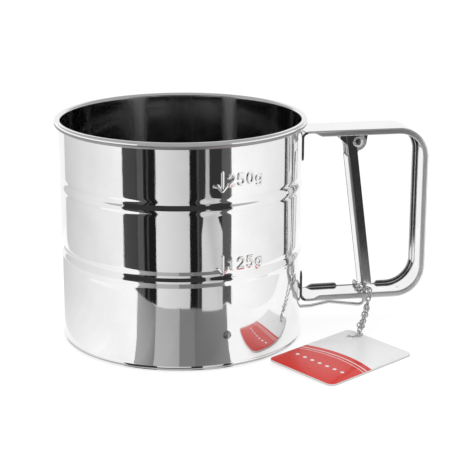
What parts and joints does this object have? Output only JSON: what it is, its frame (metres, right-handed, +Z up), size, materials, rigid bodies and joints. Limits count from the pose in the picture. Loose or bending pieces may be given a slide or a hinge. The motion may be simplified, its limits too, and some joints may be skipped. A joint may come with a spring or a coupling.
{
  "type": "flour shaker",
  "caption": "Stainless steel hand flour sifter: a round cup with a screen base, a loop handle and a squeeze trigger that swings a stirrer through a bent wire.",
  "frame": {"origin": "centre of the cup's base, on the plane that it stands on", "axes": "+Z up along the cup's axis, +X from the cup towards the handle, +Y to complete a right-handed frame"},
  "size_m": [0.1564, 0.1267, 0.093],
  "materials": {
    "polished_steel": "mirror polished",
    "plain_steel": "drawn wire and plain sheet",
    "chain_steel": "bright plated",
    "tag_card": "laminated card, printed in two colours"
  },
  "bodies": {
    "shaker": {"cup_body": "polished_steel", "screen_ring": "plain_steel", "sieve_screen": "plain_steel", "bridge_bar": "polished_steel", "bridge_rivets": "plain_steel", "pivot_pin": "plain_steel", "pivot_spacer": "plain_steel", "pivot_washer": "plain_steel", "handle_strip": "polished_steel", "pivot_bracket": "polished_steel", "trigger_pin": "plain_steel", "pin_retainer": "plain_steel", "trigger_spring": "plain_steel", "tag_chain": "chain_steel", "chain_clasp": "chain_steel", "tag_ring": "chain_steel", "hang_tag": "tag_card"},
    "trigger": {"trigger_lever": "polished_steel"},
    "wire": {"drive_wire": "plain_steel"},
    "stirrer": {"agitator": "polished_steel"}
  },
  "joints": [
    {"name": "trigger_squeeze", "type": "hinge", "parent": "shaker", "child": "trigger", "pos_m": [0.0742, 0, 0.0802], "axis": [0, -1, 0], "range_deg": [0, 13], "stiffness_Nm_per_rad": 0.6, "springref_deg": -17.19, "deforming": ["trigger_spring"]},
    {"name": "wire_pull", "type": "slide", "parent": "shaker", "child": "wire", "axis": [1, 0, 0], "range_m": [0, 0.01402]},
    {"name": "stirrer_swing", "type": "hinge", "parent": "shaker", "child": "stirrer", "pos_m": [0, 0, 0.0053], "axis": [0, 0, -1], "range_deg": [0, 35.35]}
  ],
  "couplings": [
    {"joint": "wire_pull", "follows": "trigger_squeeze", "m_per_rad": 0.061792},
    {"joint": "stirrer_swing", "follows": "trigger_squeeze", "ratio": 2.7191}
  ]
}
